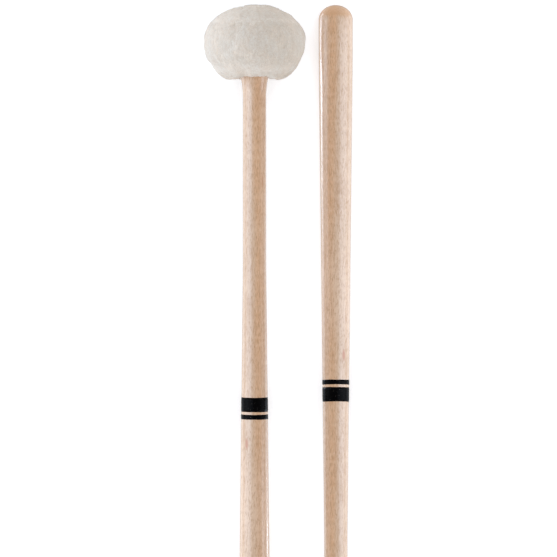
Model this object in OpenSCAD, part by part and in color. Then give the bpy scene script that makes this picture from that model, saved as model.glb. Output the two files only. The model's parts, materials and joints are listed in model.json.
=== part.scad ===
// A pair of timpani mallets, laid head to tail on a table top.
//
// Units are millimetres and +Z is up. The table is the plane z = 0, and the origin is the
// middle of the pair on it. The left mallet points its head along +Y. The right mallet is
// the same mallet turned half a turn about Z.
//
// Every sub-part is drawn on its mallet's own axis, with the butt end at height 0 and the
// head at the top, and on_left() or on_right() lays it down so that the head and the butt
// both touch the table.

/* [Pair] */
// Distance between the axes of the two shafts
axis_spacing = 38; // [38:1:80]

/* [Shaft] */
// Length over the head and the rounded butt
overall_l = 370; // [350:1:400]
// Diameter of the butt, the thickest part of the shaft
butt_d = 16; // [15:0.1:18]
// Length of the rounded end of the butt
butt_dome_l = 7; // [5:0.5:8]
// Length of the straight cylinder above the rounded end
butt_land_l = 16; // [10:1:20]
// Diameter of the neck, the thin straight part below the head
neck_d = 10.9; // [10:0.1:12]
// Length of the straight neck
neck_l = 78; // [60:1:100]
// Length of the cove that swells from the neck to the shoulder under the core
cove_l = 14; // [12:1:16]
// Diameter of the shoulder that the core sits on
shoulder_d = 15; // [14:0.1:16]
// Diameter of the tenon that the core is pushed over
tenon_d = 8; // [7:0.1:9]

/* [Bands] */
// Distance from the top of the head to the wide band
band_from_top = 184; // [150:1:200]
// Width of the wide band
wide_band_w = 6.5; // [4:0.5:8]
// Bare wood between the two bands
band_gap = 1.5; // [1:0.1:3]
// Width of the narrow band
narrow_band_w = 2; // [1:0.1:3]
// Thickness of the band material, a bonded sleeve
band_t = 0.12; // [0.1:0.01:0.3]

/* [Head] */
// Diameter of the felt head
head_d = 48; // [46:0.5:52]
// Height of the felt head along the shaft
head_h = 35; // [34:0.5:38]
// Distance from the top of the head to its widest ring
head_crown_h = 18.5; // [17:0.5:19]
// Thickness of the soft outer felt at the side
cover_side_t = 5.7; // [5:0.1:6]
// Thickness of the soft outer felt under the core, where it is gathered
cover_base_t = 5; // [4.5:0.1:5]
// Diameter of the core
core_d = 25; // [24:0.5:26]
// Height of the core
core_h = 20; // [19:0.5:21]
// Thickness of the felt pad over the core's top
pad_t = 2; // [1.5:0.1:2.5]
// Diameter of the gathering thread
thread_d = 0.8; // [0.6:0.1:1]

/* [Core screw] */
// Major diameter of the screw's thread
screw_d = 3.5; // [3:0.1:4]
// Length of the screw under its head
screw_l = 26; // [22:1:28]
// Diameter of the washer under the screw's head
washer_d = 12; // [10:0.5:12]
// Thickness of the washer
washer_t = 1; // [0.8:0.1:1.2]

/* [Hidden] */
$fn = 96;

// Clearances: bonded bands, glued joints, metal on metal, and felt against its neighbours
bond_gap = 0.005;
glue_gap = 0.05;
metal_gap = 0.02;
felt_gap = 0.1;

// How far a cut runs past the solid that it cuts
cut = 1;

// Steps in each arc of an outline
arc_steps = 24;
corner_steps = 8;

// Heights on the mallet's axis
shoulder_z = overall_l - head_h + cover_base_t;
cove_z = shoulder_z - cove_l;
taper_top_z = cove_z - neck_l;
taper_base_z = butt_dome_l + butt_land_l;
core_top_z = shoulder_z + core_h;
pad_top_z = core_top_z + pad_t;
head_mid_z = overall_l - head_crown_h;
head_base_z = overall_l - head_h;
wide_band_z = overall_l - band_from_top - wide_band_w;
narrow_band_z = wide_band_z - band_gap - narrow_band_w;

// Radii
butt_r = butt_d / 2;
neck_r = neck_d / 2;
shoulder_r = shoulder_d / 2;
core_r = core_d / 2;
head_r = head_d / 2;
liner_r = head_r - cover_side_t - felt_gap;

// The cove is an arc, tangent to the neck
cove_rise = shoulder_r - neck_r;
cove_r = (cove_l * cove_l + cove_rise * cove_rise) / (2 * cove_rise);

// The belly, below the head's widest ring, is an ellipse that the flat base cuts off at this
// share of its half-height
base_share = 0.85;
head_belly_h = (head_h - head_crown_h) / base_share;

// The rounded edge of the base is an arc. It leaves the ellipse at the angle edge_u, where the
// ellipse's normal points edge_angle below level, and it is tangent to both
edge_u = 56;
edge_angle = atan2(sin(edge_u) / head_belly_h, cos(edge_u) / head_r);
edge_r = head_belly_h * (base_share - sin(edge_u)) / (1 - sin(edge_angle));

// Chamfer of the core's rims, and how far the pad reaches past them
core_edge = 1.5;
pad_overhang = 2;

// The core screw: head, cross recess, shank, thread and point
screw_head_d = 7.5;
screw_head_h = 2.2;
screw_rim_h = 0.8;
recess_depth = 1.2;
recess_l = 4;
recess_w = 0.9;
shank_r = screw_d / 2 - 0.1;
shank_l = 6;
root_r = screw_d / 2 - 0.5;
thread_pitch = 1.3;
point_l = 3;
thread_n = floor((screw_l - point_l - shank_l) / thread_pitch);

// The screw's counterbore in the core, and the space that is left round it
washer_bore_gap = 0.15;
counterbore_d = washer_d + 1;
counterbore_h = washer_t + screw_head_h + 0.4;
washer_z = core_top_z - counterbore_h;
screw_z = washer_z + washer_t + metal_gap;
tenon_top_z = washer_z - 0.5;
pilot_d = screw_d + 0.1;
pilot_z = screw_z - screw_l - 1;

// Liner seam, and the stitches that lie in grooves across it
liner_corner_r = 4;
seam_w = 0.3;
stitch_n = 5;
stitch_d = 0.5;
stitch_w = 4;
stitch_leg = 1.5;
stitch_pitch = 3;
stitch_sink = 0.15;
stitch_r = liner_r - stitch_sink - stitch_d / 2;

// The gathering thread goes round twice inside the cover's lip and ends in a knot
thread_r = thread_d / 2;
thread_turns = 2;
thread_rise = 1.1;
lip_t = 0.5;
knot_d = 1.5;
knot_drop = 0.3;
knot_z = head_base_z + knot_d / 2 - knot_drop;

// Radius of the cove at a height on the axis
function cove_radius(z) = neck_r + cove_r - sqrt(cove_r * cove_r - (z - cove_z) * (z - cove_z));

// Radius of the finished shaft at a height between its butt land and its neck
function taper_radius(z) =
    butt_r + (neck_r - butt_r) * (z - taper_base_z) / (taper_top_z - taper_base_z);

// Points along an ellipse about [r, z], with half-width a and half-height b, in n steps
function arc(r, z, a, b, from, to, n) =
    [for (i = [0:n]) let (u = from + (to - from) * i / n) [r + a * cos(u), z + b * sin(u)]];

// Heights in n steps from one to another
function steps(from, to, n) = [for (i = [0:n]) from + (to - from) * i / n];

// How far an ellipse of half-width a and half-height b reaches across an axis tilted by t
function reach(a, b, t) = sqrt(pow(a * cos(t), 2) + pow(b * sin(t), 2));

// Tilt of a lying mallet: its head's widest ring and its butt's rounded end both touch the table
function tilt_from(t) =
    asin((reach(head_r, head_belly_h, t) - reach(butt_r, butt_dome_l, t)) / (head_mid_z - butt_dome_l));
tilt = tilt_from(tilt_from(2));
head_height = reach(head_r, head_belly_h, tilt);

// Lays a mallet down along +Y, with the head's centre head_height above the table
module lay_down() {
    translate([-axis_spacing / 2, -overall_l / 2 * cos(tilt), head_height - head_mid_z * sin(tilt)])
        rotate([tilt - 90, 0, 0])
            children();
}

module on_left() { lay_down() children(); }

module on_right() { rotate([0, 0, 180]) lay_down() children(); }

// Outline of the turned shaft, from the butt's tip to the tenon's end
function shaft_outline() = concat(
    arc(0, butt_dome_l, butt_r, butt_dome_l, -90, 0, arc_steps),
    [[butt_r, taper_base_z], [neck_r, taper_top_z]],
    [for (z = steps(cove_z, shoulder_z, arc_steps)) [cove_radius(z), z]],
    [[tenon_d / 2, shoulder_z], [tenon_d / 2, tenon_top_z], [0, tenon_top_z]]
);

module shaft() {
    color("burlywood")
        difference() {
            rotate_extrude() polygon(shaft_outline());
            translate([0, 0, pilot_z]) cylinder(d = pilot_d, h = tenon_top_z - pilot_z + cut);
        }
}

// A sleeve bonded round the tapered shaft, from height z up to z + w
module band(z, w) {
    color([0.09, 0.09, 0.1])
        rotate_extrude()
            polygon([
                [taper_radius(z) + bond_gap, z], [taper_radius(z) + band_t, z],
                [taper_radius(z + w) + band_t, z + w], [taper_radius(z + w) + bond_gap, z + w]
            ]);
}

module wide_band() { band(wide_band_z, wide_band_w); }

module narrow_band() { band(narrow_band_z, narrow_band_w); }

// The turned core, bored for the tenon and counterbored for the washer and screw
module core() {
    core_base_z = shoulder_z + glue_gap;
    color("tan")
        difference() {
            rotate_extrude()
                polygon([
                    [0, core_base_z], [core_r - core_edge, core_base_z],
                    [core_r, core_base_z + core_edge], [core_r, core_top_z - core_edge],
                    [core_r - core_edge, core_top_z], [0, core_top_z]
                ]);
            translate([0, 0, core_base_z - cut]) cylinder(d = tenon_d + 2 * glue_gap, h = core_h);
            translate([0, 0, washer_z]) cylinder(d = counterbore_d, h = core_h);
        }
}

module core_washer() {
    color("silver")
        translate([0, 0, washer_z])
            difference() {
                cylinder(d = washer_d, h = washer_t);
                translate([0, 0, -cut])
                    cylinder(d = screw_d + 2 * washer_bore_gap, h = washer_t + 2 * cut);
            }
}

// Half-outline of the screw below its head: the point, a row of thread crests, then the shank
function shank_outline() = concat(
    [[0, -screw_l]],
    [for (i = [0:thread_n - 1]) let (z = point_l - screw_l + i * thread_pitch)
        each [[root_r, z], [screw_d / 2, z + thread_pitch / 2]]],
    [[root_r, point_l - screw_l + thread_n * thread_pitch], [shank_r, -shank_l], [shank_r, 0]]
);

module core_screw() {
    color("lightgrey")
        translate([0, 0, screw_z])
            difference() {
                rotate_extrude()
                    polygon(concat(
                        shank_outline(),
                        [[screw_head_d / 2, 0]],
                        arc(0, screw_rim_h, screw_head_d / 2, screw_head_h - screw_rim_h, 0, 90,
                            corner_steps)
                    ));
                for (a = [0, 90])
                    rotate([0, 0, a])
                        translate([-recess_l / 2, -recess_w / 2, screw_head_h - recess_depth])
                            cube([recess_l, recess_w, screw_head_h]);
            }
}

// A disc of firm felt over the screw, so that the metal can't be felt through the cover
module top_pad() {
    color("ivory")
        translate([0, 0, core_top_z + glue_gap])
            cylinder(r = core_r + pad_overhang, h = pad_t - glue_gap);
}

// Height of the stitch number i
function stitch_z(i) = (shoulder_z + core_top_z) / 2 + (i - (stitch_n - 1) / 2) * stitch_pitch;

// One stitch of diameter d: a bar across the seam, and a leg of length leg into the felt at each end
module stitch(d, leg) {
    rotate([90, 0, 0]) cylinder(d = d, h = stitch_w + d, center = true, $fn = 24);
    for (side = [-1, 1])
        translate([0, side * stitch_w / 2, 0])
            rotate([0, -90, 0]) cylinder(d = d, h = leg, $fn = 24);
}

// The room that a stitch takes in the liner: a groove open to the outside, and its two leg holes
module stitch_groove() {
    groove_w = stitch_d + 4 * felt_gap;
    groove_l = stitch_w + groove_w;
    translate([-groove_w / 2, -groove_l / 2, -groove_w / 2]) cube([head_r, groove_l, groove_w]);
    for (side = [-1, 1])
        translate([0, side * stitch_w / 2, 0])
            rotate([0, -90, 0])
                cylinder(d = stitch_d + 2 * felt_gap, h = stitch_leg + felt_gap, $fn = 24);
}

// Outline of the liner: a strip as tall as the core, rounded at its outer corners
function liner_outline() = concat(
    [[core_r + glue_gap, shoulder_z + felt_gap]],
    arc(liner_r - liner_corner_r, shoulder_z + felt_gap + liner_corner_r,
        liner_corner_r, liner_corner_r, -90, 0, corner_steps),
    arc(liner_r - liner_corner_r, core_top_z - liner_corner_r,
        liner_corner_r, liner_corner_r, 0, 90, corner_steps),
    [[core_r + glue_gap, core_top_z]]
);

// The strip of firm felt wrapped once round the core, with a butt seam at +X
module felt_liner() {
    color("linen")
        difference() {
            rotate_extrude() polygon(liner_outline());
            translate([0, -seam_w / 2, shoulder_z - cut]) cube([head_r, seam_w, core_h + 2 * cut]);
            for (i = [0:stitch_n - 1]) translate([stitch_r, 0, stitch_z(i)]) stitch_groove();
        }
}

module liner_stitching() {
    color("wheat")
        for (i = [0:stitch_n - 1]) translate([stitch_r, 0, stitch_z(i)]) stitch(stitch_d, stitch_leg);
}

// Outside of the cover, from its crown down to the lip round the shaft
function cover_outside() = concat(
    arc(0, head_mid_z, head_r, head_crown_h, 90, 0, arc_steps),
    arc(0, head_mid_z, head_r, head_belly_h, 0, -edge_u, arc_steps),
    arc(head_r * cos(edge_u) - edge_r * cos(edge_angle), head_base_z + edge_r, edge_r, edge_r,
        -edge_angle, -90, corner_steps),
    [[cove_radius(head_base_z) + felt_gap, head_base_z]]
);

// Inside of the cover, from the lip round the shaft up over the liner and the pad
function cover_inside() = concat(
    [for (z = steps(head_base_z, shoulder_z - felt_gap, corner_steps)) [cove_radius(z) + felt_gap, z]],
    arc(liner_r + felt_gap - liner_corner_r, shoulder_z - felt_gap + liner_corner_r,
        liner_corner_r, liner_corner_r, -90, 0, corner_steps),
    arc(liner_r + felt_gap - liner_corner_r, pad_top_z + felt_gap - liner_corner_r,
        liner_corner_r, liner_corner_r, 0, 90, corner_steps),
    [[0, pad_top_z + felt_gap]]
);

// The soft outer felt: a bag pulled over the core and gathered round the shaft
module felt_cover() {
    color("floralwhite")
        difference() {
            rotate_extrude() polygon(concat(cover_outside(), cover_inside()));
            gathering_thread(thread_r + felt_gap / 2, knot_d + felt_gap);
        }
}

// Height of the gathering thread's turn number i, and its radius from the shaft's axis
function turn_z(i) = head_base_z + thread_r + i * thread_rise;
function turn_r(i) = cove_radius(turn_z(i)) + felt_gap + lip_t + thread_r;

// Turns of thread of radius r inside the cover's lip, and the knot of diameter k that ties them
// off on the side that lies towards the table
module gathering_thread(r, k) {
    for (i = [0:thread_turns - 1])
        translate([0, 0, turn_z(i)]) rotate_extrude() translate([turn_r(i), 0]) circle(r = r, $fn = 24);
    translate([0, turn_r(0), knot_z]) sphere(d = k, $fn = 32);
}

module draw_thread() {
    color("antiquewhite") gathering_thread(thread_r, knot_d);
}

on_left() shaft();  // left_shaft
on_left() wide_band();  // left_wide_band
on_left() narrow_band();  // left_narrow_band
on_left() core();  // left_core
on_left() core_washer();  // left_core_washer
on_left() core_screw();  // left_core_screw
on_left() top_pad();  // left_top_pad
on_left() felt_liner();  // left_felt_liner
on_left() liner_stitching();  // left_liner_stitching
on_left() felt_cover();  // left_felt_cover
on_left() draw_thread();  // left_draw_thread
on_right() shaft();  // right_shaft
on_right() wide_band();  // right_wide_band
on_right() narrow_band();  // right_narrow_band
on_right() core();  // right_core
on_right() core_washer();  // right_core_washer
on_right() core_screw();  // right_core_screw
on_right() top_pad();  // right_top_pad
on_right() felt_liner();  // right_felt_liner
on_right() liner_stitching();  // right_liner_stitching
on_right() felt_cover();  // right_felt_cover
on_right() draw_thread();  // right_draw_thread
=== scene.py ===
"""A pair of timpani mallets on a pale table: turned maple shafts and soft felt heads.

Each piece is modelled in mallet coordinates and then laid on its own mallet's axis: x across the
mallet, y towards the table, z along the axis with the butt's tip at zero, in metres. Sizes and
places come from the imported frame.
"""

import json
import math

import bmesh
import bpy
import numpy as np
from mathutils import Matrix, Vector, noise


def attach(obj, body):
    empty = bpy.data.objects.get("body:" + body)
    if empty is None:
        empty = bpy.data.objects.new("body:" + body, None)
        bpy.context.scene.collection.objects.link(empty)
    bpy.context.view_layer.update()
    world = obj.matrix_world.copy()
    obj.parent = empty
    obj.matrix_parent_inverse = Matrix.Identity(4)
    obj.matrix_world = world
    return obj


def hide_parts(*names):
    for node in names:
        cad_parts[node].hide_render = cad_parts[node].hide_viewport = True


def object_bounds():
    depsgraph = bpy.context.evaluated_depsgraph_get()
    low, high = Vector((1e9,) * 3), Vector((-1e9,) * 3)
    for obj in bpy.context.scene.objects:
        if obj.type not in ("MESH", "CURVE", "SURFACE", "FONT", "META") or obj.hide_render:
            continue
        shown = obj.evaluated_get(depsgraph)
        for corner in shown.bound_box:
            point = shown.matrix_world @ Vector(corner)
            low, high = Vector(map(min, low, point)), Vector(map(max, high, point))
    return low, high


MM = 0.001
TURN = 2 * math.pi
SIDES = ("left", "right")
SEED = {"left": 11, "right": 47}

# Shafts
SHAFT_STEPS = 96  # vertices round the shaft
SHAFT_RING_GAP = 1.5 * MM  # between rings along the axis
DOME_RINGS = 24
SHAFT_EDGE = 0.25 * MM  # chamfer on the shoulder and the tenon
PILOT_GAP = 0.05 * MM  # between the screw's thread and its hole
PILOT_DEEPER = 1.0 * MM

# Bands of film
BAND_STEPS = 160
BAND_RINGS = 8
FILM_SPREAD = 0.13 * MM  # how far a film has crept past its width at each end
FILM_GAP = 0.004 * MM  # between the film and the wood
FILM_EDGE = 0.15  # the film's height at its ends,
FILM_CROWN = 0.8  # and how much higher it is between them, as shares of its thickness
FILM_ROUNDNESS = 14  # the power that rounds the film off towards its ends: higher is squarer
FILM_WAVES = ((3, 1, 0.03 * MM), (7, 0, 0.02 * MM))  # of its rim: number, phase and height
FAR_WAVE = 0.7  # the wave of the end towards the head, as a share of the other's
LAP_ANGLE = 4.6  # where the film's end lies over its start, in radians
LAP_WIDTH = 0.05
LAP_RISE = 0.5

# Felt covers: outline
BAG_STEPS = 150  # vertices round the cover before it is remeshed
CROWN_RINGS, BELLY_RINGS, EDGE_RINGS, DIMPLE_RINGS = 26, 18, 7, 9
BASE_SHARE = 0.85  # share of the belly's half-height at which the base cuts it off
EDGE_ANGLE = math.radians(57.5)  # round the belly's ellipse, where the base's soft edge begins
EDGE_REACH = 0.8 * MM
DIMPLE_DEPTH = 2.3 * MM  # how far the gathered lip is drawn up round the shaft
DIMPLE_RADIUS = 11.5 * MM
DIMPLE_SAG = 0.1 * MM
LIP_REACH = 2.2 * MM
LIP_GAP = 0.25 * MM
LIP_EDGE = 0.5 * MM  # how far the lip's inner corner lies above its outer one
LINER_GAP = 0.3 * MM
INSIDE_CORNER = 4 * MM
FELT_INSET = 0.1 * MM  # room left for the tufts and lumps
CROWN_PACKED = 0.55 * MM  # how far the crown has been packed down by playing

# Felt covers: gathers
PLEATS = 15
PLEAT_DEPTH = 1.2 * MM
PLEATS_BELOW = 1 * MM  # the pleats begin this far below the widest part
PLEAT_GROWTH = 2.2  # the power with which they deepen towards the base
PLEAT_INNER = 6.5 * MM  # they flatten towards this radius,
PLEAT_FADE = 3.0 * MM  # over this distance,
FLAT_PLEATS = 0.15  # to this share of their depth
FRONT_PLEATS = 0.4  # share of their depth on the side away from the table,
FRONT_REACH = 8 * MM  # and how far out from the axis it is reached
NOTCH_RISE = 1.6 * MM  # how far the felt over the shaft is drawn up, on the side away from the table
NOTCH_HALF_WIDTH = 6.2 * MM
NOTCH_REACH = 9 * MM  # above the base
NOTCH_FRONT = 5 * MM  # how far out from the axis it has its full rise

# Felt covers: cloth simulation
CLOTH_SCALE = 20  # the cloth is simulated at a larger size, where the solver is steadier
CLOTH_FRAMES = 20
CLOTH_PRESSURE = 4
CLOTH_SWELL = 0.4 * MM  # the most that a point may move out,
CLOTH_SINK = 0.15 * MM  # in,
CLOTH_SLIP = 0.7 * MM  # and along the felt
VOXEL = 0.42 * MM

# Felt covers: surface. Noise layers from soft lumps to tufts and matted fibres: size and height in mm
RELIEF = ((11, 0.55), (5.5, 0.28), (2.1, 0.18), (1.1, 0.13), (0.34, 0.06))
MAT_SIZE = 0.62
MAT_HEIGHT = 0.14
STREAK_SIZE = 1.15  # pulled streaks along the axis, in mm
STREAK_HEIGHT = 0.22
STREAK_STRETCH = 9
RELIEF_LOWERED = 0.1
SKIN_START = 0.9  # mm of felt over the liner before the relief begins,
SKIN_FADE = 1.2  # and mm over which it grows to its full height
SKIN_FROM_SHAFT = 1.0 * MM  # nearer to the shaft there is none
# Dents left by handling: the place (x, y and height over the base), reach and depth, in mm
DENTS = (
    ((-9.5, -1.0, 33.6), (4.2, 9.0, 4.0), 0.45),
    ((-5.3, -1.0, 34.4), (0.8, 9.0, 3.0), 0.7),
    ((-20.4, -1.0, 6.6), (2.4, 9.0, 2.6), 0.5),
    ((13.5, -3.0, 31.0), (2.2, 7.0, 3.0), 0.5),
    ((20.5, 1.0, 7.5), (3.0, 8.0, 3.0), 0.5),
    ((9.0, -19.0, 24.0), (3.0, 4.0, 3.0), 0.5),
    ((-8.0, 19.0, 20.0), (3.4, 4.0, 4.0), 0.6),
)
FIBRES = 8500
FIBRE_SKIN = 0.9  # fibres grow only where the share of the relief is above this
FIBRE_LENGTH, FIBRE_RADIUS = (0.7, 1.9), (0.016, 0.03)  # smallest and largest, in mm
FIBRE_LIFT, FIBRE_BEND = (0.1, 0.55), (-0.9, 0.9)  # slope away from the felt, and sideways bend
FIBRE_ROOT = 0.02 * MM  # how deep a fibre's line starts in the felt
# Points along a fibre: the share of its length, and of its thickness
FIBRE_POINTS = ((-0.12, 1.0), (0.3, 1.0), (0.68, 0.8), (1.0, 0.35))
FIBRE_SIDES = 3

# Thread
THREAD_RADIUS = 0.33 * MM
THREAD_SIDES = 6
THREAD_PITCH = 1.5 * MM  # of the two plies
PLY_OFFSET, PLY_RADIUS = 0.5, 0.56  # of each ply, as shares of the thread's radius
ROUNDS = 2
STITCHES = 12  # in a round
STITCH_DIP = 0.4 * MM
STITCH_HEIGHT = 1.85 * MM  # over the felt's base
ROUND_INWARD = 0.15 * MM  # how far the first round lies inside the frame's thread
ROUND_STEP, ROUND_RISE = 0.35 * MM, 0.3 * MM  # from one round to the next: outwards and up
ROUND_POINTS, KNOT_POINTS, TAIL_POINTS = 360, 120, 24

# Marks in the wood, in mm
STREAK_X = 2.1  # the middle of the tan heartwood streak
PALE_Z = 132.0  # the middle of the pale stretch
END_GRAIN = (4.6, 6.2)  # where the dome's end grain fades out
MINERAL_PLACE, MINERAL_SIZE = (-3.7, -5.3, 164.5), (1.1, 2.0, 3.6)
GUM_PLACE, GUM_SIZE = (3.7, -4.0, 287.0), (0.5, 2.0, 4.2)

# Studio
WALL_LIGHT = 0.9
CEILING_LIGHT = 0.5
LOW_LIGHT = 1.1  # from under the horizon, as a lit white sweep gives it: seen only as reflections
AMBIENT_COLOUR = (1.02, 0.982, 0.935, 1)
LOW_COLOUR = (0.84, 0.96, 1.1, 1)
TABLE_REACH = 60  # the table's half-width, in lengths of the pair
TABLE_GLOW = 0.3  # the table is lit from behind a little, like a light table
TABLE_LAMP = ((0.0, 0.0, 2.5), 55.0, 3.0, 3.0, (1.0, 1.0, 1.0))
# Name, place for the left mallet, watts, length along the mallet, width and colour. The right
# mallet has the same, turned half a turn. The one below the table is seen only as a reflection
LAMPS = (
    ("_key", (-1.7, 0.1, 1.06), 22.0, 1.2, 2.3, (0.79, 0.96, 1.18)),
    ("_fill", (1.85, -0.65, 0.5), 8.0, 1.0, 1.0, (0.8, 0.96, 1.16)),
    ("_rim", (1.6, -0.68, -0.88), 26.0, 1.1, 0.75, (0.85, 0.96, 1.1)),
)
CAMERA_HEIGHT = 4.0
SENSOR_WIDTH = 36
PICTURE_MIDDLE = (-0.0078, 0.0566)
PICTURE_WIDTH = 0.2617

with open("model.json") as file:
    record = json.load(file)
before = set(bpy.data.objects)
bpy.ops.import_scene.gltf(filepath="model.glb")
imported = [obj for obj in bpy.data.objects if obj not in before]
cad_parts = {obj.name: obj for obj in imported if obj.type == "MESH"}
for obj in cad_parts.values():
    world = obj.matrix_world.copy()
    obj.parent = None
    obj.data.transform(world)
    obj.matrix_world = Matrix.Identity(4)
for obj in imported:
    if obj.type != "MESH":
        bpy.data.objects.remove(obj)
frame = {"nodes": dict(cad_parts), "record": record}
cad_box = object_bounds()


# ---------------------------------------------------------------- the frame in mallet coordinates


def mallet_matrix(side):
    """The matrix that lays mallet coordinates on the mallet's place in the row."""
    mount = next(m for m in frame["record"]["mounts"] if m["name"] == side + "_butt")
    origin = Vector(mount["pos_m"])
    along = -Vector(mount["axis"]).normalized()
    down = (Vector((0, 0, -1)) + along * along.z).normalized()
    across = down.cross(along)
    shaft = frame["nodes"][side + "_shaft"]
    tip = min((v.co - origin).dot(along) for v in shaft.data.vertices)
    origin += along * tip
    columns = Matrix((across, down, along)).transposed().to_4x4()
    return Matrix.Translation(origin) @ columns


def rings(side, node):
    """Radius and height of every vertex of a CAD node, in mallet coordinates."""
    back = mallet_matrix(side).inverted()
    points = [back @ v.co for v in frame["nodes"][side + "_" + node].data.vertices]
    return np.array([(math.hypot(p.x, p.y), p.z) for p in points])


def outer_line(points, hole=0.0):
    """The largest radius at each height outside a hole, as two arrays: heights and radii."""
    best = {}
    for r, z in points:
        if r < hole and z > points[:, 1].min() + hole:
            continue
        key = round(z / MM, 2)
        best[key] = max(best.get(key, 0.0), r)
    heights = sorted(best)
    return np.array(heights) * MM, np.array([best[h] for h in heights])


SHAFT_LINE = outer_line(rings("left", "shaft"), rings("left", "core_screw")[:, 0].max() / 2)


def shaft_radius(z):
    return float(np.interp(z, *SHAFT_LINE))


def steps(start, stop, count):
    return [start + (stop - start) * i / count for i in range(count + 1)]


def around(count):
    return [TURN * k / count for k in range(count)]


def smooth(u):
    u = min(1.0, max(0.0, u))
    return u * u * (3 - 2 * u)


def bezier(points, t):
    (ax, ay), (bx, by), (cx, cy) = points
    s = 1 - t
    return (s * s * ax + 2 * s * t * bx + t * t * cx, s * s * ay + 2 * s * t * by + t * t * cy)


# ---------------------------------------------------------------- mesh helpers


def new_object(name, verts, faces, side):
    """A smooth mesh object in mallet coordinates, laid on its mallet."""
    mesh = bpy.data.meshes.new(name)
    mesh.from_pydata([tuple(v) for v in verts], [], faces)
    mesh.validate()
    shade_smooth(mesh)
    piece = bpy.data.objects.new(name, mesh)
    bpy.context.scene.collection.objects.link(piece)
    piece.matrix_world = mallet_matrix(side)
    return piece


def shade_smooth(mesh):
    mesh.polygons.foreach_set("use_smooth", [True] * len(mesh.polygons))


def face_outwards(mesh):
    work = bmesh.new()
    work.from_mesh(mesh)
    bmesh.ops.recalc_face_normals(work, faces=work.faces)
    work.to_mesh(mesh)
    work.free()


def read_vectors(elements, name):
    """A three-number value of each mesh element, as an array with one row for each."""
    values = np.empty(len(elements) * 3)
    elements.foreach_get(name, values)
    return values.reshape(-1, 3)


def lathe(profile, count):
    """Vertices and faces of a profile of (radius, height) turned about z. Radius 0 is a pole."""
    verts, rows = [], []
    for r, z in profile:
        if r <= 0:
            rows.append([len(verts)] * count)
            verts.append((0.0, 0.0, z))
        else:
            rows.append(list(range(len(verts), len(verts) + count)))
            verts.extend((r * math.cos(a), r * math.sin(a), z) for a in around(count))
    faces = []
    for low, high in zip(rows, rows[1:]):
        for k in range(count):
            j = (k + 1) % count
            corner = [low[k], low[j], high[j], high[k]]
            faces.append([v for i, v in enumerate(corner) if v not in corner[:i]])
    return verts, faces


def loop_faces(count, size, closed):
    """Faces between successive loops of size vertices. Open ends are capped."""
    faces = []
    for i in range(count if closed else count - 1):
        j = (i + 1) % count
        for k in range(size):
            m = (k + 1) % size
            faces.append([i * size + k, i * size + m, j * size + m, j * size + k])
    if not closed:
        faces.append(list(range(size))[::-1])
        faces.append([(count - 1) * size + k for k in range(size)])
    return faces


def unit_rows(vectors):
    return vectors / np.linalg.norm(vectors, axis=1)[:, None]


def tube(path, radius, closed):
    """A round tube along a path of points."""
    if closed:
        tangent = unit_rows(np.roll(path, -1, 0) - np.roll(path, 1, 0))
    else:
        tangent = unit_rows(np.gradient(path, axis=0))
    normal = np.cross(tangent[0], (0.31, 0.17, 0.93))
    verts = []
    for point, t in zip(path, tangent):
        normal = normal - t * np.dot(normal, t)
        normal /= np.linalg.norm(normal)
        side_way = np.cross(t, normal)
        for a in around(THREAD_SIDES):
            verts.append(point + radius * (normal * math.cos(a) + side_way * math.sin(a)))
    return verts, loop_faces(len(path), THREAD_SIDES, closed)


def joined(parts):
    """Several (verts, faces) lists as one."""
    verts, faces = [], []
    for part_verts, part_faces in parts:
        base = len(verts)
        verts.extend(part_verts)
        faces.extend([[base + v for v in f] for f in part_faces])
    return verts, faces


# ---------------------------------------------------------------- node helpers


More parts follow.
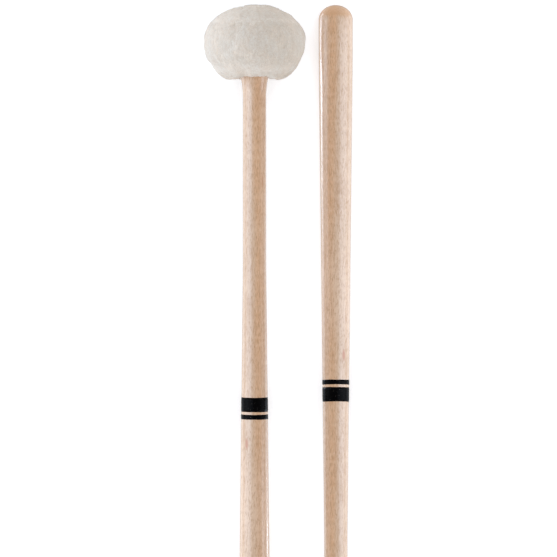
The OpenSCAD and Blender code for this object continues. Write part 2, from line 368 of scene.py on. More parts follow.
class Graph:
    """A small wrapper that keeps a node graph short to write."""

    def __init__(self, owner):
        owner.use_nodes = True
        self.tree = owner.node_tree

    def link(self, value, socket):
        if isinstance(value, bpy.types.NodeSocket):
            self.tree.links.new(value, socket)
        elif value is not None:
            socket.default_value = value

    def node(self, kind, **settings):
        made = self.tree.nodes.new(kind)
        for key, value in settings.items():
            setattr(made, key, value)
        return made

    def position(self):
        """Object coordinates in millimetres."""
        scaled = self.node("ShaderNodeVectorMath", operation="SCALE")
        self.link(self.node("ShaderNodeTexCoord").outputs["Object"], scaled.inputs[0])
        scaled.inputs["Scale"].default_value = 1 / MM
        return scaled.outputs[0]

    def stretch(self, vector, size, shift=(0, 0, 0)):
        """The vector divided by a size per axis, so that a noise of scale 1 has that grain."""
        made = self.node("ShaderNodeMapping")
        self.link(vector, made.inputs["Vector"])
        made.inputs["Scale"].default_value = [1 / s for s in size]
        made.inputs["Location"].default_value = shift
        return made.outputs[0]

    def noise(self, vector, detail=2.0, rough=0.5, distort=0.0):
        made = self.node("ShaderNodeTexNoise")
        self.link(vector, made.inputs["Vector"])
        made.inputs["Scale"].default_value = 1.0
        made.inputs["Detail"].default_value = detail
        made.inputs["Roughness"].default_value = rough
        made.inputs["Distortion"].default_value = distort
        return made.outputs["Fac"]

    def math(self, operation, a, b=None):
        made = self.node("ShaderNodeMath", operation=operation)
        for value, socket in zip((a, b), made.inputs):
            self.link(value, socket)
        return made.outputs[0]

    def span(self, value, low, high, to_low=0.0, to_high=1.0):
        """The value's place between low and high, smoothed, as a number from to_low to to_high."""
        made = self.node("ShaderNodeMapRange", interpolation_type="SMOOTHSTEP")
        names = ("Value", "From Min", "From Max", "To Min", "To Max")
        for name, v in zip(names, (value, low, high, to_low, to_high)):
            self.link(v, made.inputs[name])
        return made.outputs[0]

    def blob(self, vector, centre, size):
        """1 at a centre, falling smoothly to 0 at a distance of 1 when measured in size."""
        away = self.node("ShaderNodeVectorMath", operation="SUBTRACT")
        self.link(vector, away.inputs[0])
        away.inputs[1].default_value = centre
        scaled = self.node("ShaderNodeVectorMath", operation="DIVIDE")
        self.link(away.outputs[0], scaled.inputs[0])
        scaled.inputs[1].default_value = size
        length = self.node("ShaderNodeVectorMath", operation="LENGTH")
        self.link(scaled.outputs[0], length.inputs[0])
        return self.span(length.outputs["Value"], 0.3, 1.0, 1.0, 0.0)

    def separate(self, vector):
        made = self.node("ShaderNodeSeparateXYZ")
        self.link(vector, made.inputs[0])
        return made.outputs

    def mix(self, factor, a, b):
        made = self.node("ShaderNodeMix", data_type="RGBA")
        self.link(factor, made.inputs["Factor"])
        for value, socket in ((a, made.inputs[6]), (b, made.inputs[7])):
            self.link(value, socket)
        return made.outputs[2]


class Shader(Graph):
    """The node graph of a new material with one principled surface."""

    def __init__(self, name):
        self.material = bpy.data.materials.new(name)
        super().__init__(self.material)
        self.surface = self.tree.nodes["Principled BSDF"]

    def bump(self, height, strength, distance):
        made = self.node("ShaderNodeBump")
        self.link(height, made.inputs["Height"])
        made.inputs["Strength"].default_value = strength
        made.inputs["Distance"].default_value = distance
        self.link(made.outputs[0], self.surface.inputs["Normal"])

    def rim(self, start, stop, amount):
        """A mask for painted shade: rises to the amount where the surface turns edge-on, from 1 less the
        angle's cosine.
        """
        facing = self.node("ShaderNodeLayerWeight")
        facing.inputs["Blend"].default_value = 0.5
        return self.span(facing.outputs["Facing"], start, stop, 0.0, amount)

    def set(self, **values):
        for key, value in values.items():
            self.link(value, self.surface.inputs[key.replace("_", " ")])


def srgb(r, g, b):
    """A colour given as the eye sees it, from 0 to 255, as the linear value that nodes take."""
    parts = [(v / 255 / 12.92 if v <= 10 else ((v / 255 + 0.055) / 1.055) ** 2.4) for v in (r, g, b)]
    return (*parts, 1.0)


# ---------------------------------------------------------------- materials


def maple():
    """Lacquered hard maple: faint rings, fine grain, a tan heartwood streak and brown flecks."""
    s = Shader("lacquered_maple")
    p = s.position()
    x, y, z = s.separate(p)
    drift = s.noise(s.stretch(p, (14, 14, 90)), 2.0)
    across = s.math("ADD", x, s.math("MULTIPLY", s.math("SUBTRACT", drift, 0.5), 5.0))
    fine = s.noise(s.stretch(p, (0.35, 0.35, 16)), 3.0, 0.6)
    fibre = s.noise(s.stretch(p, (0.12, 0.12, 5)), 2.0, 0.6)
    rub = s.noise(s.stretch(p, (3, 3, 11), (1, 4, 2)), 3.0)
    colour = maple_zones(s, p, across, y, z)
    colour = maple_grain(s, p, colour, maple_ring(s, p, across, y), fine, fibre)
    s.set(
        Base_Color=maple_marks(s, p, colour, z),
        Roughness=s.span(rub, 0.25, 0.75, 0.36, 0.5),
        Coat_Weight=s.span(z, 5.0, 14.0, 0.25, 0.7),
        Coat_IOR=1.5,
        Coat_Roughness=s.span(rub, 0.25, 0.75, 0.09, 0.16),
    )
    s.bump(s.math("ADD", fine, s.math("MULTIPLY", fibre, 0.6)), 0.25, 0.06 * MM)
    return s.material


def maple_ring(s, p, across, y):
    """The thin dark edge of each year's ring: the rings lie nearly flat across the stick."""
    ring_way = s.math("ADD", s.math("MULTIPLY", across, 0.35), s.math("MULTIPLY", y, 0.94))
    wave = s.noise(s.stretch(p, (6, 6, 70), (3, 1, 7)), 2.0)
    ring_at = s.math("ADD", s.math("DIVIDE", ring_way, 1.7), s.math("MULTIPLY", wave, 2.2))
    saw = s.math("FRACT", ring_at)
    return s.math("MULTIPLY", s.span(saw, 0.62, 0.97), s.span(saw, 0.97, 1.0, 1.0, 0.0))


def maple_zones(s, p, across, y, z):
    """The wood's broad tones: sapwood blotches, the tan streak and a paler stretch."""
    blotch = s.noise(s.stretch(p, (4, 4, 22), (9, 2, 5)), 3.0)
    from_streak = s.math("ABSOLUTE", s.math("SUBTRACT", across, STREAK_X))
    streak = s.math("MULTIPLY", s.span(from_streak, 0.6, 3.6, 1.0, 0.0), s.span(y, -1.5, 1.5, 1.0, 0.35))
    from_pale = s.math("ABSOLUTE", s.math("SUBTRACT", z, PALE_Z))
    colour = s.mix(s.span(blotch, 0.3, 0.7), srgb(222, 192, 168), srgb(212, 181, 154))
    colour = s.mix(s.math("MULTIPLY", streak, 0.78), colour, srgb(225, 174, 130))
    return s.mix(s.span(from_pale, 8.0, 36.0, 0.5, 0.0), colour, srgb(236, 204, 178))


def maple_grain(s, p, colour, ring, fine, fibre):
    """The colour with rings, fine grain, pores, pale fibres, curl and brown flecks."""
    pore = s.noise(s.stretch(p, (0.5, 0.5, 2.4), (6, 1, 8)), 2.0, 0.7)
    curl = s.noise(s.stretch(p, (7, 7, 2.6), (2, 8, 4)), 1.0)
    fleck = s.noise(s.stretch(p, (0.22, 0.22, 1.9), (5, 5, 1)), 1.0)
    colour = s.mix(s.math("MULTIPLY", ring, 0.3), colour, srgb(188, 143, 107))
    colour = s.mix(s.span(fine, 0.35, 0.7, 0.0, 0.3), colour, srgb(196, 152, 114))
    colour = s.mix(s.span(pore, 0.45, 0.7, 0.0, 0.78), colour, srgb(184, 140, 102))
    colour = s.mix(s.span(pore, 0.25, 0.45, 0.35, 0.0), colour, srgb(243, 216, 189))
    colour = s.mix(s.span(fibre, 0.4, 0.75, 0.0, 0.2), colour, srgb(244, 220, 194))
    colour = s.mix(s.span(curl, 0.35, 0.7, 0.0, 0.14), colour, srgb(242, 214, 184))
    return s.mix(s.span(fleck, 0.69, 0.76, 0.0, 0.55), colour, srgb(150, 98, 60))


def maple_marks(s, p, colour, z):
    """The colour with the dome's end grain, a darker tip, painted edge shade, a mineral streak and a gum
    line.
    """
    colour = s.mix(s.span(z, *END_GRAIN, 0.6, 0.0), colour, srgb(207, 160, 119))
    # Darker brown towards the tip of the dome.
    colour = s.mix(s.span(z, 0.0, 2.4, 0.3, 0.0), colour, srgb(160, 116, 78))
    # Painted shade: the wood darkens where its surface turns edge-on to the view.
    colour = s.mix(s.rim(0.6, 0.95, 0.5), colour, srgb(128, 96, 72))
    mineral = s.blob(p, MINERAL_PLACE, MINERAL_SIZE)
    colour = s.mix(s.math("MULTIPLY", mineral, 0.7), colour, srgb(186, 112, 76))
    gum = s.blob(p, GUM_PLACE, GUM_SIZE)
    return s.mix(s.math("MULTIPLY", gum, 0.5), colour, srgb(186, 120, 78))


def black_film():
    """The satin black of the two bands, with light handling scratches and a few pale specks."""
    s = Shader("black_film")
    p = s.position()
    scratch = s.span(s.noise(s.stretch(p, (3, 3, 0.12)), 2.0), 0.62, 0.7)
    speck = s.noise(s.stretch(p, (0.35, 0.35, 0.35), (2, 3, 5)), 1.0)
    tone = s.noise(s.stretch(p, (1.5, 1.5, 1.5)), 3.0)
    colour = s.mix(tone, srgb(0, 0, 1), srgb(3, 2, 4))
    colour = s.mix(s.math("MULTIPLY", scratch, 0.2), colour, srgb(60, 58, 60))
    colour = s.mix(s.span(speck, 0.74, 0.78, 0.0, 0.6), colour, srgb(170, 160, 150))
    s.set(
        Base_Color=colour,
        Roughness=s.span(tone, 0.3, 0.7, 0.24, 0.4),
        Specular_IOR_Level=0.04,
    )
    s.bump(s.math("ADD", tone, scratch), 0.2, 0.02 * MM)
    return s.material


def soft_felt():
    """Soft white wool felt: matted fibres, faint cream clouds, streaks along the axis and painted edge
    shade.
    """
    s = Shader("soft_felt")
    p = s.position()
    cloud = s.noise(s.stretch(p, (7, 7, 10)), 3.0)
    pull = s.noise(s.stretch(p, (1.4, 1.4, 5.5), (4, 2, 9)), 3.0, 0.6, 0.6)
    tuft = s.noise(s.stretch(p, (0.8, 0.8, 1.5), (1, 9, 4)), 2.0, 0.6, 1.0)
    mat = s.noise(s.stretch(p, (0.55, 0.55, 0.55)), 4.0, 0.65, 1.2)
    hair = s.noise(s.stretch(p, (0.14, 0.14, 0.3), (8, 3, 1)), 3.0, 0.7, 2.0)
    colour = s.mix(s.span(cloud, 0.36, 0.64), srgb(255, 238, 220), srgb(246, 239, 229))
    colour = s.mix(s.span(pull, 0.38, 0.68, 0.0, 0.75), colour, srgb(229, 211, 192))
    colour = s.mix(s.span(tuft, 0.38, 0.62, 0.0, 0.65), colour, srgb(223, 206, 188))
    colour = s.mix(s.span(mat, 0.35, 0.65, 0.0, 0.5), colour, srgb(255, 252, 246))
    colour = s.mix(s.span(hair, 0.35, 0.65, 0.0, 0.3), colour, srgb(217, 203, 188))
    # Painted shade: the felt darkens to grey where its surface turns edge-on to the view.
    colour = s.mix(s.rim(0.78, 1.0, 0.55), colour, srgb(120, 114, 108))
    s.set(
        Base_Color=colour,
        Roughness=s.span(mat, 0.2, 0.8, 0.86, 1.0),
        Sheen_Weight=0.35,
        Sheen_Roughness=0.6,
        Specular_IOR_Level=0.2,
    )
    height = s.math("ADD", s.math("MULTIPLY", s.math("ADD", mat, tuft), 1.4), hair)
    s.bump(height, 0.7, 0.3 * MM)
    return s.material


def felt_fuzz():
    """Loose wool fibres: the felt's own colour, a little lighter where they catch the light."""
    s = Shader("felt_fuzz")
    tone = s.noise(s.stretch(s.position(), (2.5, 2.5, 4)), 2.0)
    colour = s.mix(tone, srgb(232, 221, 209), srgb(252, 246, 238))
    s.set(Base_Color=colour, Roughness=0.95, Sheen_Weight=0.3, Specular_IOR_Level=0.15)
    return s.material


def firm_felt():
    """Dense grey-white felt of the liner and the pad."""
    s = Shader("firm_felt")
    p = s.position()
    mat = s.noise(s.stretch(p, (0.4, 0.4, 0.4)), 4.0, 0.7, 1.0)
    cloud = s.noise(s.stretch(p, (5, 5, 5)), 2.0)
    colour = s.mix(s.span(cloud, 0.3, 0.7), srgb(214, 209, 200), srgb(200, 194, 184))
    colour = s.mix(s.span(mat, 0.35, 0.7, 0.0, 0.5), colour, srgb(176, 169, 158))
    s.set(Base_Color=colour, Roughness=0.94, Sheen_Weight=0.15, Specular_IOR_Level=0.2)
    s.bump(mat, 0.5, 0.2 * MM)
    return s.material


def core_wood():
    """Bare wood of the turned core, with open grain."""
    s = Shader("core_wood")
    p = s.position()
    grain = s.noise(s.stretch(p, (0.6, 9, 0.6)), 3.0, 0.6, 0.5)
    tone = s.noise(s.stretch(p, (6, 14, 6), (3, 1, 2)), 2.0)
    colour = s.mix(s.span(tone, 0.3, 0.7), srgb(214, 178, 136), srgb(198, 158, 114))
    colour = s.mix(s.span(grain, 0.4, 0.75, 0.0, 0.45), colour, srgb(160, 114, 74))
    s.set(Base_Color=colour, Roughness=s.span(grain, 0.2, 0.8, 0.55, 0.75))
    s.bump(grain, 0.4, 0.1 * MM)
    return s.material


def zinc_steel():
    """Zinc-plated steel of the screw and washer: brushed, with a few dull patches."""
    s = Shader("zinc_steel")
    p = s.position()
    brush = s.noise(s.stretch(p, (0.1, 2.5, 0.1)), 2.0)
    patch = s.noise(s.stretch(p, (1.8, 1.8, 1.8), (1, 7, 3)), 3.0)
    colour = s.mix(s.span(patch, 0.3, 0.7), srgb(196, 199, 202), srgb(168, 170, 172))
    s.set(Base_Color=colour, Metallic=1.0, Roughness=s.span(patch, 0.25, 0.75, 0.26, 0.46))
    s.bump(brush, 0.25, 0.03 * MM)
    return s.material


def cotton_thread():
    """Waxed cream thread, with the lie of its fibres as colour and bump."""
    s = Shader("cotton_thread")
    p = s.position()
    lie = s.noise(s.stretch(p, (0.1, 0.1, 0.22)), 3.0, 0.6, 1.5)
    tone = s.noise(s.stretch(p, (1.2, 1.2, 1.2)), 2.0)
    colour = s.mix(s.span(tone, 0.3, 0.7), srgb(238, 229, 214), srgb(226, 214, 196))
    colour = s.mix(s.span(lie, 0.4, 0.7, 0.0, 0.4), colour, srgb(198, 182, 160))
    s.set(Base_Color=colour, Roughness=0.7, Sheen_Weight=0.2)
    s.bump(lie, 0.5, 0.08 * MM)
    return s.material


def table_top():
    """The plain pale table: a smooth matt white with the faintest unevenness."""
    s = Shader("table_top")
    tone = s.noise(s.stretch(s.position(), (60, 60, 60)), 2.0)
    colour = s.mix(tone, (0.75, 0.79, 0.85, 1), (0.77, 0.81, 0.87, 1))
    s.set(
        Base_Color=colour,
        Roughness=0.9,
        Specular_IOR_Level=0.1,
        Emission_Color=(1, 1, 1, 1),
        Emission_Strength=TABLE_GLOW,
    )
    return s.material


# ---------------------------------------------------------------- shaft and bands


def add_piece(piece, side, node, material):
    piece.data.materials.append(material)
    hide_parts(side + "_" + node)
    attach(piece, side + "_mallet")


def turn_shaft(side, material):
    """The turned shaft with its tenon and the hole that the core screw is driven into."""
    heights, radii = SHAFT_LINE
    shoulder = heights[np.argmax(np.diff(radii) < -2 * MM)]
    tenon_r, tenon_top = radii[-1], heights[-1]
    butt_r = radii.max()
    dome_l = heights[np.argmax(radii > butt_r - 0.001 * MM)]
    screw = rings(side, "core_screw")
    pilot_r = screw[screw[:, 1] < tenon_top][:, 0].max() + PILOT_GAP
    pilot_z = screw[:, 1].min() - PILOT_DEEPER
    neck_end = shoulder - SHAFT_EDGE
    quarter = steps(0, math.pi / 2, DOME_RINGS)
    body = steps(dome_l, shoulder, round((shoulder - dome_l) / SHAFT_RING_GAP))

    profile = [(butt_r * math.sin(a), dome_l * (1 - math.cos(a))) for a in quarter]
    profile += [(shaft_radius(z), z) for z in body[1:-1]]
    profile += [(shaft_radius(neck_end), neck_end), (shaft_radius(neck_end) - SHAFT_EDGE, shoulder)]
    profile += [(tenon_r, shoulder), (tenon_r, tenon_top - SHAFT_EDGE), (tenon_r - SHAFT_EDGE, tenon_top)]
    profile += [(pilot_r, tenon_top), (pilot_r, pilot_z + pilot_r), (0, pilot_z)]
    piece = new_object(side + "_turned_shaft", *lathe(profile, SHAFT_STEPS), side)
    add_piece(piece, side, "shaft", material)


def wrap_band(side, node, material):
    """A band of black film: rounded edges, a slightly wavy rim and an overlapping end."""
    line = rings(side, node)
    low, high = line[:, 1].min(), line[:, 1].max()
    thick = np.interp(low, *outer_line(line)) - shaft_radius(low)
    verts = []
    for a in around(BAND_STEPS):
        height = thick * (1 + LAP_RISE * math.exp(-(((a - LAP_ANGLE) / LAP_WIDTH) ** 2)))
        wave = sum(size * math.sin(n * a + phase) for n, phase, size in FILM_WAVES)
        start = low - FILM_SPREAD + wave
        end = high + FILM_SPREAD - wave * FAR_WAVE
        section = [(shaft_radius(z) + FILM_GAP, z) for z in (start, end)]
        for u in steps(1, -1, BAND_RINGS):
            z = (start + end) / 2 + (end - start) / 2 * u
            crown = math.sqrt(1 - abs(u) ** FILM_ROUNDNESS)
            section.append((shaft_radius(z) + height * (FILM_EDGE + FILM_CROWN * crown), z))
        verts.extend((r * math.cos(a), r * math.sin(a), z) for r, z in section)
    faces = loop_faces(BAND_STEPS, BAND_RINGS + 3, closed=True)
    piece = new_object(side + "_" + node + "_film", verts, faces, side)
    add_piece(piece, side, node, material)


# ---------------------------------------------------------------- felt cover


class Head:
    """The felt head's own sizes, read from the frame."""

    def __init__(self, side):
        cover = rings(side, "felt_cover")
        liner = rings(side, "felt_liner")
        self.radius, self.middle = cover[np.argmax(cover[:, 0])]
        self.top, self.base = cover[:, 1].max(), cover[:, 1].min()
        self.lip = self.base + DIMPLE_DEPTH
        self.liner_radius, self.liner_base = liner[:, 0].max(), liner[:, 1].min()
        self.pad_top = rings(side, "top_pad")[:, 1].max()

    def outline(self):
        """The outside from the crown to the lip round the shaft, as (radius, height)."""
        radius = self.radius - FELT_INSET
        crown = self.top - self.middle - FELT_INSET - CROWN_PACKED
        belly = (self.middle - self.base) / BASE_SHARE - FELT_INSET / 3
        low = self.base + FELT_INSET / 3
        upper, lower = steps(0, math.pi / 2, CROWN_RINGS), steps(0, EDGE_ANGLE, BELLY_RINGS)[1:]
        line = [(radius * math.sin(u), self.middle + crown * math.cos(u)) for u in upper]
        line += [(radius * math.cos(u), self.middle - belly * math.sin(u)) for u in lower]
        start = line[-1]
        edge = (start[0] - EDGE_REACH, low)
        dimple = (DIMPLE_RADIUS, low - DIMPLE_SAG)
        lip = (shaft_radius(self.lip) + LIP_GAP, self.lip)
        inward = (lip[0] + LIP_REACH, low - DIMPLE_SAG)
        line += [bezier((start, edge, dimple), t) for t in steps(0, 1, EDGE_RINGS)[1:]]
        line += [bezier((dimple, inward, lip), t) for t in steps(0, 1, DIMPLE_RINGS)[1:]]
        return line

    def inside(self):
        """The inside from the lip up over the liner and the pad to the axis."""
        r, corner = self.liner_radius + LINER_GAP, INSIDE_CORNER
        floor, roof = self.liner_base - LINER_GAP, self.pad_top + LINER_GAP
        quarter = steps(0, math.pi / 2, 8)
        line = [(shaft_radius(z) + LIP_GAP, z) for z in steps(self.lip + LIP_EDGE, floor, 3)]
        line += [(r - corner + corner * math.sin(u), floor + corner - corner * math.cos(u)) for u in quarter]
        line += [(r - corner + corner * math.cos(u), roof - corner + corner * math.sin(u)) for u in quarter]
        return line + [(r * 0.4, roof), (0, roof)]


def pleat_wave(angle, waves):
    """Irregular gathers round the head: 1 on a ridge and -1 in a fold."""
    wobble = sum(w * math.sin(n * angle + phase) for n, w, phase in waves)
    return math.cos(PLEATS * angle + wobble)


def gathered(point, head, waves):
    """A point of the bag, moved by the pleats, and drawn up over the shaft."""
    x, y, z = point
    r = math.hypot(x, y)
    if r == 0:
        return point
    angle = math.atan2(y, x)
    below = (head.middle - PLEATS_BELOW - z) / (head.middle - head.base)
    grow = min(1.0, max(0.0, below)) ** PLEAT_GROWTH
    fade = min(1.0, max(FLAT_PLEATS, (r - PLEAT_INNER) / PLEAT_FADE))
    front = smooth(-y / FRONT_REACH)
    fold = pleat_wave(angle, waves) * PLEAT_DEPTH * grow * fade * (1 + (FRONT_PLEATS - 1) * front)
    # Far out the pleats push sideways, and near the shaft more up and down
    push = min(1.0, r / head.radius * 1.1)
    x += fold * push * math.cos(angle)
    y += fold * push * math.sin(angle)
    if z < head.middle:
        z -= fold * 0.6 * (1 - push * 0.5)
    over_shaft = smooth(1.6 - abs(x) / NOTCH_HALF_WIDTH)
    low = smooth((head.base + NOTCH_REACH - z) / NOTCH_REACH)
    z += NOTCH_RISE * smooth(-y / NOTCH_FRONT) * over_shaft * low
    return x, y, z


def blown_up(verts, faces, pinned):
    """The points of a gathered bag, blown up a little as cloth while its stitches hold it."""
    mesh = bpy.data.meshes.new("cloth")
    mesh.from_pydata([tuple(v * CLOTH_SCALE) for v in verts], [], faces)
    bag = bpy.data.objects.new("cloth", mesh)
    scene = bpy.context.scene
    scene.collection.objects.link(bag)
    bag.vertex_groups.new(name="stitched").add(pinned, 1.0, "REPLACE")
    cloth = bag.modifiers.new("Cloth", "CLOTH")
    cloth.collision_settings.use_collision = False
    cloth.point_cache.frame_start, cloth.point_cache.frame_end = 1, CLOTH_FRAMES
    settings = cloth.settings
    settings.quality = 6
    settings.mass = 0.25
    settings.tension_stiffness = settings.compression_stiffness = 12
    settings.shear_stiffness = 8
    settings.bending_stiffness = 6
    settings.tension_damping = settings.compression_damping = 15
    settings.use_pressure = True
    settings.uniform_pressure_force = CLOTH_PRESSURE
    settings.vertex_group_mass = "stitched"
    settings.effector_weights.gravity = 0
    for step in range(1, CLOTH_FRAMES + 1):
        scene.frame_set(step)
    shaped = bag.evaluated_get(bpy.context.evaluated_depsgraph_get()).to_mesh()
    points = read_vectors(shaped.vertices, "co") / CLOTH_SCALE
    bpy.data.objects.remove(bag)
    bpy.data.meshes.remove(mesh)
    scene.frame_set(1)
    return points


def vertex_normals(verts, faces):
    mesh = bpy.data.meshes.new("normals")
    mesh.from_pydata([tuple(v) for v in verts], [], faces)
    normals = read_vectors(mesh.vertex_normals, "vector")
    bpy.data.meshes.remove(mesh)
    return normals


def gathered_bag(side, head):
    """The cover's outside: an ellipsoid of felt drawn together in pleats round the shaft."""
    rng = np.random.default_rng(SEED[side])
    waves = [(n, rng.uniform(0.3, 0.9), rng.uniform(0, 6.3)) for n in (1, 2, 3, 5)]
    verts, faces = lathe(head.outline(), BAG_STEPS)
    still = np.array([gathered(v, head, waves) for v in verts])
    outwards = [f[::-1] for f in faces]
    lip = list(range(len(verts) - BAG_STEPS, len(verts)))
    shift = blown_up(still, outwards, lip) - still
    out = vertex_normals(still, outwards)
    swell = np.sum(shift * out, axis=1)
    slip = shift - swell[:, None] * out
    slide = np.linalg.norm(slip, axis=1)
    slip *= np.minimum(1.0, CLOTH_SLIP / np.maximum(slide, 1e-9))[:, None]
    swell = np.clip(swell, -CLOTH_SINK, CLOTH_SWELL)
    return still + swell[:, None] * out + slip, faces


def remeshed(piece):
    """The piece's mesh as an even skin of small faces."""
    remesh = piece.modifiers.new("Remesh", "REMESH")
    remesh.mode = "VOXEL"
    remesh.voxel_size = VOXEL
    mesh = bpy.data.meshes.new_from_object(piece.evaluated_get(bpy.context.evaluated_depsgraph_get()))
    piece.modifiers.clear()
    shade_smooth(mesh)
    return mesh


def skin_share(point, head):
    """1 on the felt's outside, falling to 0 where the felt is thin or inside the cover."""
    x, y, z = point
    r = math.hypot(x, y)
    if r < shaft_radius(z) + SKIN_FROM_SHAFT:
        return 0.0
    away = max(r - head.liner_radius, z - head.pad_top, head.liner_base - z) / MM
    return min(1.0, max(0.0, (away - SKIN_START) / SKIN_FADE))


def dent_depth(p):
    """How deep the handling dents are at a point given in mm, with its height over the base."""
    depths = []
    for place, reach, depth in DENTS:
        distance = sum(((v - w) / far) ** 2 for v, w, far in zip(p, place, reach))
        depths.append(depth * math.exp(-distance))
    return sum(depths)


def felt_relief(p, offset):
    """The height of the felt's lumps, streaks, tufts and matted fibres at a point, all in mm."""
    q = p + offset
    angle = math.atan2(p.y, p.x)
    round_way = (STREAK_STRETCH * math.cos(angle), STREAK_STRETCH * math.sin(angle))
    streak_at = Vector((*round_way, p.z / STREAK_STRETCH)) + offset
    height = noise.noise(streak_at / STREAK_SIZE) * STREAK_HEIGHT
    height += abs(noise.noise(q / MAT_SIZE)) * MAT_HEIGHT
    return height + sum(noise.noise(q / size) * high for size, high in RELIEF) - RELIEF_LOWERED


def rough_up(mesh, side, head):
    """Moves the felt's outside in and out, and returns each vertex's share of the outside."""
    rng = np.random.default_rng(SEED[side] + 1)
    offset = Vector(rng.uniform(-50, 50, 3))
    base = Vector((0, 0, head.base / MM))
    points = read_vectors(mesh.vertices, "co")
    normals = read_vectors(mesh.vertex_normals, "vector")
    outside = np.array([skin_share(p, head) for p in points])
    for i in np.flatnonzero(outside):
        p = Vector(points[i]) / MM
        height = (felt_relief(p, offset) - dent_depth(p - base)) * MM * outside[i]
        points[i] += normals[i] * height
    rest_on_table(points, side)
    mesh.vertices.foreach_set("co", points.ravel())
    mesh.update()
    return outside


def rest_on_table(points, side):
    """Presses points that would reach below the table flat onto it."""
    down = np.array(mallet_matrix(side))[2]
    height = points @ down[:3] + down[3] - cad_box[0].z
    points -= np.outer(np.minimum(height, 0.0), down[:3])


def felt_cover(side, material, fuzz_material):
    """The soft felt head: cloth-simulated outside, a close-fitting inside, and loose fibres."""
    head = Head(side)
    outer = gathered_bag(side, head)
    verts, shell = joined([outer, lathe(head.inside(), BAG_STEPS)])
    inner_lip = len(outer[0])
    outer_lip = inner_lip - BAG_STEPS
    for k in range(BAG_STEPS):
        j = (k + 1) % BAG_STEPS
        shell.append([outer_lip + k, outer_lip + j, inner_lip + j, inner_lip + k])
    piece = new_object(side + "_felt_head", verts, shell, side)
    face_outwards(piece.data)
    piece.data = remeshed(piece)
    outside = rough_up(piece.data, side, head)
    add_piece(piece, side, "felt_cover", material)

    fuzz = new_object(side + "_felt_fuzz", *grow_fibres(piece.data, outside, side), side)
    fuzz.data.materials.append(fuzz_material)
    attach(fuzz, side + "_mallet")


def fibre(rng, root, n):
    """The vertices of one curled fibre that leans away from the felt's normal n at its root."""
    t = np.cross(n, rng.normal(size=3))
    t /= np.linalg.norm(t)
    b = np.cross(n, t)
    length = rng.uniform(*FIBRE_LENGTH) * MM
    lift = rng.uniform(*FIBRE_LIFT)
    bend = rng.uniform(*FIBRE_BEND)
    radius = rng.uniform(*FIBRE_RADIUS) * MM
    verts = []
    for u, share in FIBRE_POINTS:
        rise = lift * length * (u - 0.75 * u * max(u, 0.0)) - FIBRE_ROOT
        middle = root + t * length * u + b * length * bend * u * u * 0.6 + n * rise
        for a in around(FIBRE_SIDES):
            verts.append(middle + radius * share * (n * math.cos(a) + b * math.sin(a)))
    return verts


def grow_fibres(mesh, outside, side):
    """Short curled fibres, each a closed three-sided hair rooted in the felt."""
    rng = np.random.default_rng(SEED[side] + 2)
    faces = [p for p in mesh.polygons if min(outside[v] for v in p.vertices) > FIBRE_SKIN]
    hair_faces = loop_faces(len(FIBRE_POINTS), FIBRE_SIDES, closed=False)
    hairs = []
    for pick in rng.integers(0, len(faces), FIBRES):
        root, n = np.array(faces[pick].center), np.array(faces[pick].normal)
        hairs.append((fibre(rng, root, n), hair_faces))
    verts, faces = joined(hairs)
    verts = np.array(verts)
    rest_on_table(verts, side)
    return verts, faces


# ---------------------------------------------------------------- gathering thread


def two_ply(path, radius, closed=True):
    """A thread of two plies laid round each other along a path."""
    path = np.array(path, float)
    along = np.concatenate(([0.0], np.cumsum(np.linalg.norm(np.diff(path, axis=0), axis=1))))
    total = along[-1] + (np.linalg.norm(path[0] - path[-1]) if closed else 0.0)
    turns = max(1, round(total / THREAD_PITCH))
    tangent = unit_rows(np.gradient(path, axis=0))
    side_way = unit_rows(np.cross(tangent, (0.0, 0.0, 1.0)))
    up = np.cross(side_way, tangent)
    plies = []
    for phase in (0.0, math.pi):
        a = (TURN * turns * along / total + phase)[:, None]
        ply = path + radius * PLY_OFFSET * (side_way * np.cos(a) + up * np.sin(a))
        plies.append(tube(ply, radius * PLY_RADIUS, closed))
    return joined(plies)


def stitch_round(ring_r, base, number):
    """One round of the running stitch. The second round's stitches fill the first one's gaps."""
    r = ring_r - ROUND_INWARD + ROUND_STEP * number
    z = base + STITCH_HEIGHT + ROUND_RISE * number
    path = []
    for a in around(ROUND_POINTS):
        dip = STITCH_DIP * math.sin(STITCHES * a + number * math.pi)
        path.append((r * math.cos(a), r * math.sin(a), z - dip))
    return path


def knot(ring_r, base):
    """A trefoil: the line of a tight overhand knot."""
    return [
        (
            (math.sin(a) + 2 * math.sin(2 * a)) * 0.33 * MM,
            ring_r + (math.cos(a) - 2 * math.cos(2 * a)) * 0.28 * MM,
            base + 0.6 * MM - math.sin(3 * a) * 0.3 * MM,
        )
        for a in around(KNOT_POINTS)
    ]


def thread_tail(ring_r, base, way):
    """One of the knot's two ends, on its way out across the felt."""
    return [
        (way * (0.4 + 3.2 * u) * MM, ring_r + (0.3 + 0.9 * u * u) * MM, base + (0.35 - 0.25 * u) * MM)
        for u in steps(0, 1, TAIL_POINTS)
    ]


def draw_thread(side, material):
    """The gathering thread: a running stitch round the lip, tied off on the table side."""
    base = Head(side).base
    thread = rings(side, "draw_thread")
    lowest = thread[thread[:, 1] < thread[:, 1].min() + 0.3 * MM]
    ring_r = lowest[:, 0].mean()
    parts = [two_ply(stitch_round(ring_r, base, n), THREAD_RADIUS) for n in range(ROUNDS)]
    parts.append(two_ply(knot(ring_r, base), THREAD_RADIUS * 0.9))
    for way in (-1, 1):
        parts.append(two_ply(thread_tail(ring_r, base, way), THREAD_RADIUS * 0.85, closed=False))
    piece = new_object(side + "_gathering_stitch", *joined(parts), side)
    add_piece(piece, side, "draw_thread", material)


# ---------------------------------------------------------------- build


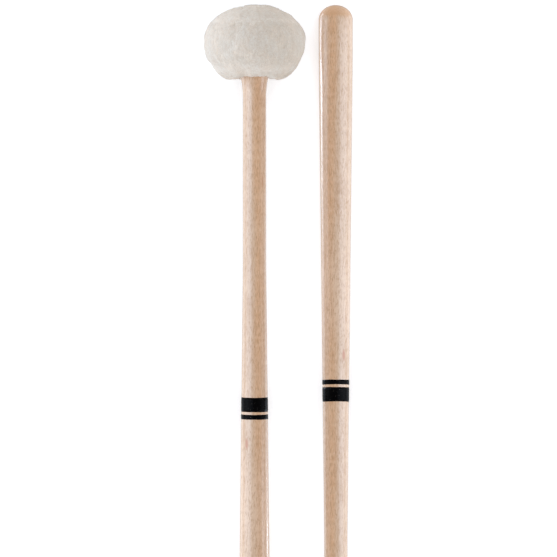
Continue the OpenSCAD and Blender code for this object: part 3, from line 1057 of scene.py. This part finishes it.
wood, film, felt, fuzz, thread = maple(), black_film(), soft_felt(), felt_fuzz(), cotton_thread()
steel, pad_felt = zinc_steel(), firm_felt()
inner_looks = {
    "core": core_wood(),
    "core_washer": steel,
    "core_screw": steel,
    "top_pad": pad_felt,
    "felt_liner": pad_felt,
    "liner_stitching": thread,
}
for side in SIDES:
    turn_shaft(side, wood)
    wrap_band(side, "wide_band", film)
    wrap_band(side, "narrow_band", film)
    felt_cover(side, felt, fuzz)
    draw_thread(side, thread)
    for node, look in inner_looks.items():
        for slot in frame["nodes"][side + "_" + node].material_slots:
            slot.material = look


# ---------------------------------------------------------------- studio


def add_table(height):
    """A wide plain table. Mirror-like reflections pass through it, to the sweep below the horizon."""
    reach = TABLE_REACH * (cad_box[1].y - cad_box[0].y)
    corners = ((-reach, -reach), (reach, -reach), (reach, reach), (-reach, reach))
    mesh = bpy.data.meshes.new("table")
    mesh.from_pydata([(x, y, height) for x, y in corners], [], [(0, 1, 2, 3)])
    mesh.materials.append(table_top())
    table = bpy.data.objects.new("table", mesh)
    bpy.context.scene.collection.objects.link(table)
    table.visible_glossy = False
    return table


def add_lamp(name, place, watts, length, width, colour, lit, blockers=None):
    """A soft light that faces the origin and lights one collection. Only blockers, if given, shade it."""
    light = bpy.data.lights.new(name, "AREA")
    light.shape = "RECTANGLE"
    light.size, light.size_y = length, width
    light.energy = watts
    light.color = colour
    lamp = bpy.data.objects.new(name, light)
    bpy.context.scene.collection.objects.link(lamp)
    lamp.location = place
    lamp.rotation_mode = "QUATERNION"
    lamp.rotation_quaternion = (-lamp.location).to_track_quat("-Z", "Y")
    lamp.visible_camera = False
    lamp.light_linking.receiver_collection = lit
    lamp.light_linking.blocker_collection = blockers


def group(name, objects):
    """A collection of objects, for lamps that light or are shaded by them alone."""
    made = bpy.data.collections.new(name)
    for one in objects:
        made.objects.link(one)
    return made


def add_lamps(table):
    """A lamp for the table, and a mirrored pair of each lamp for the two mallets."""
    add_lamp("table_lamp", *TABLE_LAMP, group("table_lit", [table]))
    meshes = [o for o in bpy.context.scene.objects if o.type == "MESH"]
    for side, turn in zip(SIDES, (1, -1)):
        lit = group(side + "_lit", [o for o in meshes if o.name.startswith(side + "_")])
        for name, (x, y, z), *light in LAMPS:
            above = lit if z > 0 else None
            add_lamp(side + name, (x * turn, y * turn, z), *light, lit, above)


def add_sky():
    """Light from all round, with a brighter sweep below the horizon on the sticks' two sides."""
    world = bpy.data.worlds.new("studio")
    g = Graph(world)
    _, along, height = g.separate(g.node("ShaderNodeTexCoord").outputs["Generated"])
    sweep = g.math("MULTIPLY", g.span(height, -0.3, -0.15, 1, 0), g.span(height, -0.9, -0.5))
    sweep = g.math("MULTIPLY", sweep, g.span(g.math("ABSOLUTE", along), 0.35, 0.75, 1, 0))
    dome = g.span(height, 0.0, 0.9, WALL_LIGHT, CEILING_LIGHT)
    background = g.tree.nodes["Background"]
    g.link(g.mix(sweep, AMBIENT_COLOUR, LOW_COLOUR), background.inputs["Color"])
    g.link(g.math("ADD", dome, g.math("MULTIPLY", sweep, LOW_LIGHT)), background.inputs["Strength"])
    bpy.context.scene.world = world
    bpy.context.scene.view_settings.view_transform = "Standard"


def add_camera():
    """Straight above the part of the pair that the picture frames, from far enough to flatten it."""
    data = bpy.data.cameras.new("camera")
    data.sensor_width = SENSOR_WIDTH
    data.lens = SENSOR_WIDTH * CAMERA_HEIGHT / PICTURE_WIDTH
    camera = bpy.data.objects.new("camera", data)
    bpy.context.scene.collection.objects.link(camera)
    camera.location = (*PICTURE_MIDDLE, CAMERA_HEIGHT)
    bpy.context.scene.camera = camera


add_lamps(add_table(cad_box[0].z))
add_sky()
add_camera()
